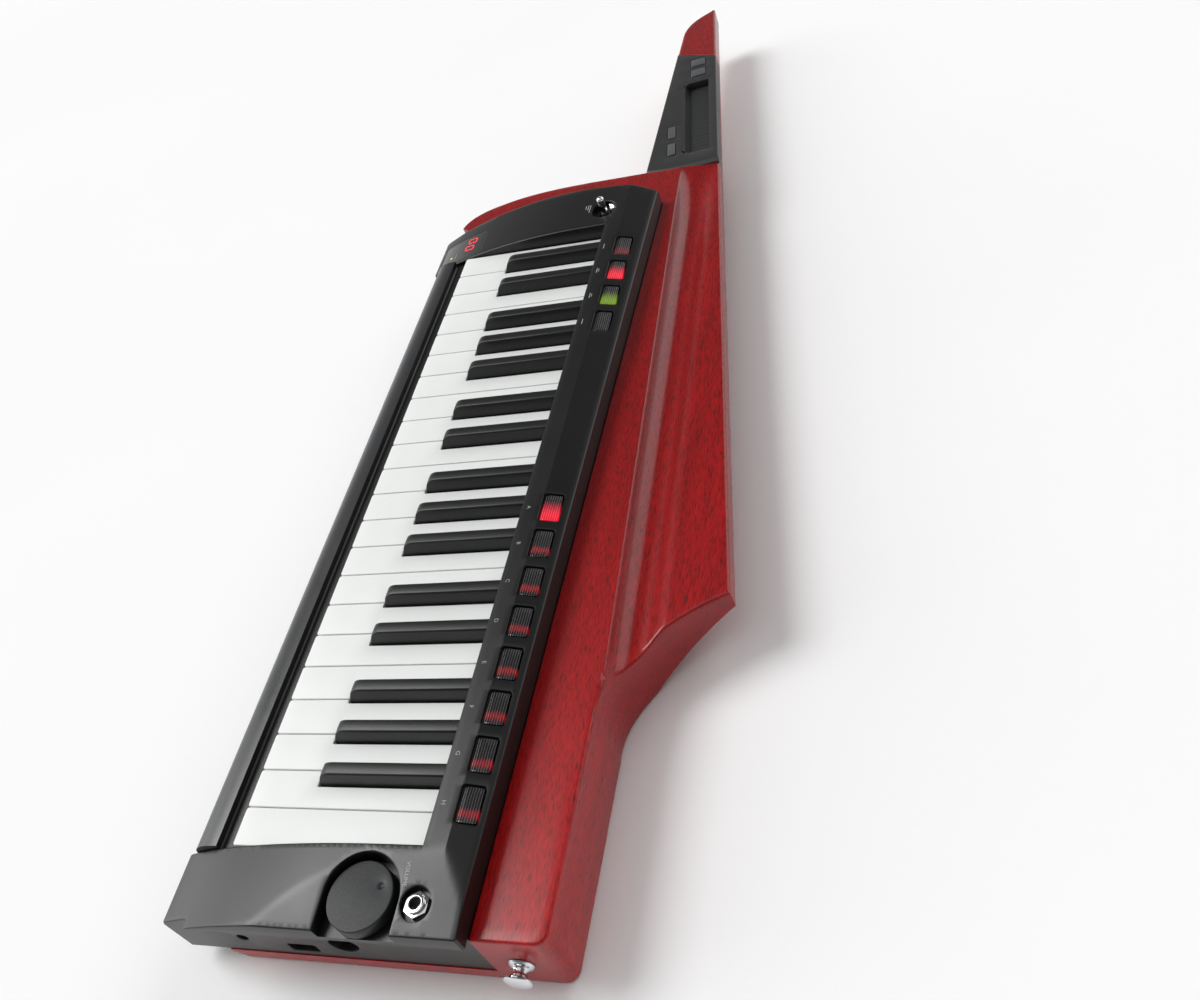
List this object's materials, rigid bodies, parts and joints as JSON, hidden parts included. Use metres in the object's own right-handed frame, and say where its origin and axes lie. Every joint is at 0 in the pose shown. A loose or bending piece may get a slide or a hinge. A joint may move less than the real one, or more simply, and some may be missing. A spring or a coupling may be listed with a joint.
{
  "type": "keytar",
  "caption": "Shoulder-worn electronic keyboard with a wooden body, touch neck, sprung slim keys, lens buttons, a short lever and a dial.",
  "frame": {"origin": "middle of the bounding box on the plane that the flat back rests on", "axes": "+X from the neck to the tail, +Y from the player to the wing, +Z out of the keys"},
  "size_m": [0.8216, 0.27, 0.0715],
  "materials": {
    "red_mahogany": "open-grained, stained red and satin lacquered",
    "black_panel": "moulded, fine textured",
    "black_rail": "moulded, satin",
    "white_key": "moulded, semi-gloss",
    "black_key": "moulded, matt",
    "smoked_lens": "ribbed smoked lens over a lamp",
    "grey_cap": "painted grey",
    "chrome": "bright chrome",
    "display_window": "smoked window",
    "white_print": "printed marks",
    "ribbon_strip": "textured film",
    "black_socket": "moulded, deep black"
  },
  "bodies": {
    "chassis": {"wood_body": "red_mahogany", "control_panel": "black_panel", "neck_panel": "black_panel", "key_chassis": "black_rail", "tail_strap_pin": "chrome"},
    "white_key_1": {"white_key_1": "white_key"},
    "white_key_2": {"white_key_2": "white_key"},
    "white_key_3": {"white_key_3": "white_key"},
    "white_key_4": {"white_key_4": "white_key"},
    "white_key_5": {"white_key_5": "white_key"},
    "white_key_6": {"white_key_6": "white_key"},
    "white_key_7": {"white_key_7": "white_key"},
    "white_key_8": {"white_key_8": "white_key"},
    "white_key_9": {"white_key_9": "white_key"},
    "white_key_10": {"white_key_10": "white_key"},
    "white_key_11": {"white_key_11": "white_key"},
    "white_key_12": {"white_key_12": "white_key"},
    "white_key_13": {"white_key_13": "white_key"},
    "white_key_14": {"white_key_14": "white_key"},
    "white_key_15": {"white_key_15": "white_key"},
    "white_key_16": {"white_key_16": "white_key"},
    "white_key_17": {"white_key_17": "white_key"},
    "white_key_18": {"white_key_18": "white_key"},
    "white_key_19": {"white_key_19": "white_key"},
    "white_key_20": {"white_key_20": "white_key"},
    "white_key_21": {"white_key_21": "white_key"},
    "white_key_22": {"white_key_22": "white_key"},
    "black_key_1": {"black_key_1": "black_key"},
    "black_key_2": {"black_key_2": "black_key"},
    "black_key_3": {"black_key_3": "black_key"},
    "black_key_4": {"black_key_4": "black_key"},
    "black_key_5": {"black_key_5": "black_key"},
    "black_key_6": {"black_key_6": "black_key"},
    "black_key_7": {"black_key_7": "black_key"},
    "black_key_8": {"black_key_8": "black_key"},
    "black_key_9": {"black_key_9": "black_key"},
    "black_key_10": {"black_key_10": "black_key"},
    "black_key_11": {"black_key_11": "black_key"},
    "black_key_12": {"black_key_12": "black_key"},
    "black_key_13": {"black_key_13": "black_key"},
    "black_key_14": {"black_key_14": "black_key"},
    "black_key_15": {"black_key_15": "black_key"},
    "function_button_1": {"function_button_1": "smoked_lens"},
    "function_button_2": {"function_button_2": "smoked_lens"},
    "function_button_3": {"function_button_3": "smoked_lens"},
    "function_button_4": {"function_button_4": "smoked_lens"},
    "program_button_1": {"program_button_1": "smoked_lens"},
    "program_button_2": {"program_button_2": "smoked_lens"},
    "program_button_3": {"program_button_3": "smoked_lens"},
    "program_button_4": {"program_button_4": "smoked_lens"},
    "program_button_5": {"program_button_5": "smoked_lens"},
    "program_button_6": {"program_button_6": "smoked_lens"},
    "program_button_7": {"program_button_7": "smoked_lens"},
    "program_button_8": {"program_button_8": "smoked_lens"},
    "neck_button_1": {"neck_button_1": "grey_cap"},
    "neck_button_2": {"neck_button_2": "grey_cap"},
    "neck_button_3": {"neck_button_3": "grey_cap"},
    "neck_button_4": {"neck_button_4": "grey_cap"},
    "octave_lever": {"octave_lever": "chrome"},
    "volume_dial": {"volume_dial": "black_panel"}
  },
  "joints": [
    {"name": "white_key_1_hinge", "type": "hinge", "parent": "chassis", "child": "white_key_1", "pos_m": [-0.08235, 0.019, 0.043], "axis": [1, 0, 0], "range_deg": [0, 3.3], "stiffness_Nm_per_rad": 0.15, "springref_deg": -17.19},
    {"name": "white_key_2_hinge", "type": "hinge", "parent": "chassis", "child": "white_key_2", "pos_m": [-0.06155, 0.019, 0.043], "axis": [1, 0, 0], "range_deg": [0, 3.3], "stiffness_Nm_per_rad": 0.15, "springref_deg": -17.19},
    {"name": "white_key_3_hinge", "type": "hinge", "parent": "chassis", "child": "white_key_3", "pos_m": [-0.04075, 0.019, 0.043], "axis": [1, 0, 0], "range_deg": [0, 3.3], "stiffness_Nm_per_rad": 0.15, "springref_deg": -17.19},
    {"name": "white_key_4_hinge", "type": "hinge", "parent": "chassis", "child": "white_key_4", "pos_m": [-0.01995, 0.019, 0.043], "axis": [1, 0, 0], "range_deg": [0, 3.3], "stiffness_Nm_per_rad": 0.15, "springref_deg": -17.19},
    {"name": "white_key_5_hinge", "type": "hinge", "parent": "chassis", "child": "white_key_5", "pos_m": [0.00085, 0.019, 0.043], "axis": [1, 0, 0], "range_deg": [0, 3.3], "stiffness_Nm_per_rad": 0.15, "springref_deg": -17.19},
    {"name": "white_key_6_hinge", "type": "hinge", "parent": "chassis", "child": "white_key_6", "pos_m": [0.02165, 0.019, 0.043], "axis": [1, 0, 0], "range_deg": [0, 3.3], "stiffness_Nm_per_rad": 0.15, "springref_deg": -17.19},
    {"name": "white_key_7_hinge", "type": "hinge", "parent": "chassis", "child": "white_key_7", "pos_m": [0.04245, 0.019, 0.043], "axis": [1, 0, 0], "range_deg": [0, 3.3], "stiffness_Nm_per_rad": 0.15, "springref_deg": -17.19},
    {"name": "white_key_8_hinge", "type": "hinge", "parent": "chassis", "child": "white_key_8", "pos_m": [0.06325, 0.019, 0.043], "axis": [1, 0, 0], "range_deg": [0, 3.3], "stiffness_Nm_per_rad": 0.15, "springref_deg": -17.19},
    {"name": "white_key_9_hinge", "type": "hinge", "parent": "chassis", "child": "white_key_9", "pos_m": [0.08405, 0.019, 0.043], "axis": [1, 0, 0], "range_deg": [0, 3.3], "stiffness_Nm_per_rad": 0.15, "springref_deg": -17.19},
    {"name": "white_key_10_hinge", "type": "hinge", "parent": "chassis", "child": "white_key_10", "pos_m": [0.10485, 0.019, 0.043], "axis": [1, 0, 0], "range_deg": [0, 3.3], "stiffness_Nm_per_rad": 0.15, "springref_deg": -17.19},
    {"name": "white_key_11_hinge", "type": "hinge", "parent": "chassis", "child": "white_key_11", "pos_m": [0.12565, 0.019, 0.043], "axis": [1, 0, 0], "range_deg": [0, 3.3], "stiffness_Nm_per_rad": 0.15, "springref_deg": -17.19},
    {"name": "white_key_12_hinge", "type": "hinge", "parent": "chassis", "child": "white_key_12", "pos_m": [0.14645, 0.019, 0.043], "axis": [1, 0, 0], "range_deg": [0, 3.3], "stiffness_Nm_per_rad": 0.15, "springref_deg": -17.19},
    {"name": "white_key_13_hinge", "type": "hinge", "parent": "chassis", "child": "white_key_13", "pos_m": [0.16725, 0.019, 0.043], "axis": [1, 0, 0], "range_deg": [0, 3.3], "stiffness_Nm_per_rad": 0.15, "springref_deg": -17.19},
    {"name": "white_key_14_hinge", "type": "hinge", "parent": "chassis", "child": "white_key_14", "pos_m": [0.18805, 0.019, 0.043], "axis": [1, 0, 0], "range_deg": [0, 3.3], "stiffness_Nm_per_rad": 0.15, "springref_deg": -17.19},
    {"name": "white_key_15_hinge", "type": "hinge", "parent": "chassis", "child": "white_key_15", "pos_m": [0.20885, 0.019, 0.043], "axis": [1, 0, 0], "range_deg": [0, 3.3], "stiffness_Nm_per_rad": 0.15, "springref_deg": -17.19},
    {"name": "white_key_16_hinge", "type": "hinge", "parent": "chassis", "child": "white_key_16", "pos_m": [0.22965, 0.019, 0.043], "axis": [1, 0, 0], "range_deg": [0, 3.3], "stiffness_Nm_per_rad": 0.15, "springref_deg": -17.19},
    {"name": "white_key_17_hinge", "type": "hinge", "parent": "chassis", "child": "white_key_17", "pos_m": [0.25045, 0.019, 0.043], "axis": [1, 0, 0], "range_deg": [0, 3.3], "stiffness_Nm_per_rad": 0.15, "springref_deg": -17.19},
    {"name": "white_key_18_hinge", "type": "hinge", "parent": "chassis", "child": "white_key_18", "pos_m": [0.27125, 0.019, 0.043], "axis": [1, 0, 0], "range_deg": [0, 3.3], "stiffness_Nm_per_rad": 0.15, "springref_deg": -17.19},
    {"name": "white_key_19_hinge", "type": "hinge", "parent": "chassis", "child": "white_key_19", "pos_m": [0.29205, 0.019, 0.043], "axis": [1, 0, 0], "range_deg": [0, 3.3], "stiffness_Nm_per_rad": 0.15, "springref_deg": -17.19},
    {"name": "white_key_20_hinge", "type": "hinge", "parent": "chassis", "child": "white_key_20", "pos_m": [0.31285, 0.019, 0.043], "axis": [1, 0, 0], "range_deg": [0, 3.3], "stiffness_Nm_per_rad": 0.15, "springref_deg": -17.19},
    {"name": "white_key_21_hinge", "type": "hinge", "parent": "chassis", "child": "white_key_21", "pos_m": [0.33365, 0.019, 0.043], "axis": [1, 0, 0], "range_deg": [0, 3.3], "stiffness_Nm_per_rad": 0.15, "springref_deg": -17.19},
    {"name": "white_key_22_hinge", "type": "hinge", "parent": "chassis", "child": "white_key_22", "pos_m": [0.35445, 0.019, 0.043], "axis": [1, 0, 0], "range_deg": [0, 3.3], "stiffness_Nm_per_rad": 0.15, "springref_deg": -17.19},
    {"name": "black_key_1_hinge", "type": "hinge", "parent": "chassis", "child": "black_key_1", "pos_m": [-0.07425, 0.019, 0.043], "axis": [1, 0, 0], "range_deg": [0, 3.3], "stiffness_Nm_per_rad": 0.12, "springref_deg": -17.19},
    {"name": "black_key_2_hinge", "type": "hinge", "parent": "chassis", "child": "black_key_2", "pos_m": [-0.04885, 0.019, 0.043], "axis": [1, 0, 0], "range_deg": [0, 3.3], "stiffness_Nm_per_rad": 0.12, "springref_deg": -17.19},
    {"name": "black_key_3_hinge", "type": "hinge", "parent": "chassis", "child": "black_key_3", "pos_m": [-0.01275, 0.019, 0.043], "axis": [1, 0, 0], "range_deg": [0, 3.3], "stiffness_Nm_per_rad": 0.12, "springref_deg": -17.19},
    {"name": "black_key_4_hinge", "type": "hinge", "parent": "chassis", "child": "black_key_4", "pos_m": [0.01125, 0.019, 0.043], "axis": [1, 0, 0], "range_deg": [0, 3.3], "stiffness_Nm_per_rad": 0.12, "springref_deg": -17.19},
    {"name": "black_key_5_hinge", "type": "hinge", "parent": "chassis", "child": "black_key_5", "pos_m": [0.03525, 0.019, 0.043], "axis": [1, 0, 0], "range_deg": [0, 3.3], "stiffness_Nm_per_rad": 0.12, "springref_deg": -17.19},
    {"name": "black_key_6_hinge", "type": "hinge", "parent": "chassis", "child": "black_key_6", "pos_m": [0.07135, 0.019, 0.043], "axis": [1, 0, 0], "range_deg": [0, 3.3], "stiffness_Nm_per_rad": 0.12, "springref_deg": -17.19},
    {"name": "black_key_7_hinge", "type": "hinge", "parent": "chassis", "child": "black_key_7", "pos_m": [0.09675, 0.019, 0.043], "axis": [1, 0, 0], "range_deg": [0, 3.3], "stiffness_Nm_per_rad": 0.12, "springref_deg": -17.19},
    {"name": "black_key_8_hinge", "type": "hinge", "parent": "chassis", "child": "black_key_8", "pos_m": [0.13285, 0.019, 0.043], "axis": [1, 0, 0], "range_deg": [0, 3.3], "stiffness_Nm_per_rad": 0.12, "springref_deg": -17.19},
    {"name": "black_key_9_hinge", "type": "hinge", "parent": "chassis", "child": "black_key_9", "pos_m": [0.15685, 0.019, 0.043], "axis": [1, 0, 0], "range_deg": [0, 3.3], "stiffness_Nm_per_rad": 0.12, "springref_deg": -17.19},
    {"name": "black_key_10_hinge", "type": "hinge", "parent": "chassis", "child": "black_key_10", "pos_m": [0.18085, 0.019, 0.043], "axis": [1, 0, 0], "range_deg": [0, 3.3], "stiffness_Nm_per_rad": 0.12, "springref_deg": -17.19},
    {"name": "black_key_11_hinge", "type": "hinge", "parent": "chassis", "child": "black_key_11", "pos_m": [0.21695, 0.019, 0.043], "axis": [1, 0, 0], "range_deg": [0, 3.3], "stiffness_Nm_per_rad": 0.12, "springref_deg": -17.19},
    {"name": "black_key_12_hinge", "type": "hinge", "parent": "chassis", "child": "black_key_12", "pos_m": [0.24235, 0.019, 0.043], "axis": [1, 0, 0], "range_deg": [0, 3.3], "stiffness_Nm_per_rad": 0.12, "springref_deg": -17.19},
    {"name": "black_key_13_hinge", "type": "hinge", "parent": "chassis", "child": "black_key_13", "pos_m": [0.27845, 0.019, 0.043], "axis": [1, 0, 0], "range_deg": [0, 3.3], "stiffness_Nm_per_rad": 0.12, "springref_deg": -17.19},
    {"name": "black_key_14_hinge", "type": "hinge", "parent": "chassis", "child": "black_key_14", "pos_m": [0.30245, 0.019, 0.043], "axis": [1, 0, 0], "range_deg": [0, 3.3], "stiffness_Nm_per_rad": 0.12, "springref_deg": -17.19},
    {"name": "black_key_15_hinge", "type": "hinge", "parent": "chassis", "child": "black_key_15", "pos_m": [0.32645, 0.019, 0.043], "axis": [1, 0, 0], "range_deg": [0, 3.3], "stiffness_Nm_per_rad": 0.12, "springref_deg": -17.19},
    {"name": "function_button_1_press", "type": "slide", "parent": "chassis", "child": "function_button_1", "axis": [0, -0.2496, -0.9684], "range_m": [0, 0.0008], "stiffness_N_per_m": 600, "springref_m": -0.002},
    {"name": "function_button_2_press", "type": "slide", "parent": "chassis", "child": "function_button_2", "axis": [0, -0.2496, -0.9684], "range_m": [0, 0.0008], "stiffness_N_per_m": 600, "springref_m": -0.002},
    {"name": "function_button_3_press", "type": "slide", "parent": "chassis", "child": "function_button_3", "axis": [0, -0.2496, -0.9684], "range_m": [0, 0.0008], "stiffness_N_per_m": 600, "springref_m": -0.002},
    {"name": "function_button_4_press", "type": "slide", "parent": "chassis", "child": "function_button_4", "axis": [0, -0.2496, -0.9684], "range_m": [0, 0.0008], "stiffness_N_per_m": 600, "springref_m": -0.002},
    {"name": "program_button_1_press", "type": "slide", "parent": "chassis", "child": "program_button_1", "axis": [0, -0.2496, -0.9684], "range_m": [0, 0.0008], "stiffness_N_per_m": 600, "springref_m": -0.002},
    {"name": "program_button_2_press", "type": "slide", "parent": "chassis", "child": "program_button_2", "axis": [0, -0.2496, -0.9684], "range_m": [0, 0.0008], "stiffness_N_per_m": 600, "springref_m": -0.002},
    {"name": "program_button_3_press", "type": "slide", "parent": "chassis", "child": "program_button_3", "axis": [0, -0.2496, -0.9684], "range_m": [0, 0.0008], "stiffness_N_per_m": 600, "springref_m": -0.002},
    {"name": "program_button_4_press", "type": "slide", "parent": "chassis", "child": "program_button_4", "axis": [0, -0.2496, -0.9684], "range_m": [0, 0.0008], "stiffness_N_per_m": 600, "springref_m": -0.002},
    {"name": "program_button_5_press", "type": "slide", "parent": "chassis", "child": "program_button_5", "axis": [0, -0.2496, -0.9684], "range_m": [0, 0.0008], "stiffness_N_per_m": 600, "springref_m": -0.002},
    {"name": "program_button_6_press", "type": "slide", "parent": "chassis", "child": "program_button_6", "axis": [0, -0.2496, -0.9684], "range_m": [0, 0.0008], "stiffness_N_per_m": 600, "springref_m": -0.002},
    {"name": "program_button_7_press", "type": "slide", "parent": "chassis", "child": "program_button_7", "axis": [0, -0.2496, -0.9684], "range_m": [0, 0.0008], "stiffness_N_per_m": 600, "springref_m": -0.002},
    {"name": "program_button_8_press", "type": "slide", "parent": "chassis", "child": "program_button_8", "axis": [0, -0.2496, -0.9684], "range_m": [0, 0.0008], "stiffness_N_per_m": 600, "springref_m": -0.002},
    {"name": "neck_button_1_press", "type": "slide", "parent": "chassis", "child": "neck_button_1", "axis": [0, 0, -1], "range_m": [0, 0.0008], "stiffness_N_per_m": 600, "springref_m": -0.002},
    {"name": "neck_button_2_press", "type": "slide", "parent": "chassis", "child": "neck_button_2", "axis": [0, 0, -1], "range_m": [0, 0.0008], "stiffness_N_per_m": 600, "springref_m": -0.002},
    {"name": "neck_button_3_press", "type": "slide", "parent": "chassis", "child": "neck_button_3", "axis": [0, 0, -1], "range_m": [0, 0.0008], "stiffness_N_per_m": 600, "springref_m": -0.002},
    {"name": "neck_button_4_press", "type": "slide", "parent": "chassis", "child": "neck_button_4", "axis": [0, 0, -1], "range_m": [0, 0.0008], "stiffness_N_per_m": 600, "springref_m": -0.002},
    {"name": "octave_lever_tilt", "type": "hinge", "parent": "chassis", "child": "octave_lever", "pos_m": [-0.11225, 0.0075, 0.0563], "axis": [0, 1, 0], "range_deg": [-16, 16], "stiffness_Nm_per_rad": 0.03},
    {"name": "volume_dial_turn", "type": "hinge", "parent": "chassis", "child": "volume_dial", "pos_m": [0.38865, -0.0158, 0.0564], "axis": [0, 0, 1], "range_deg": [-150, 150]}
  ]
}
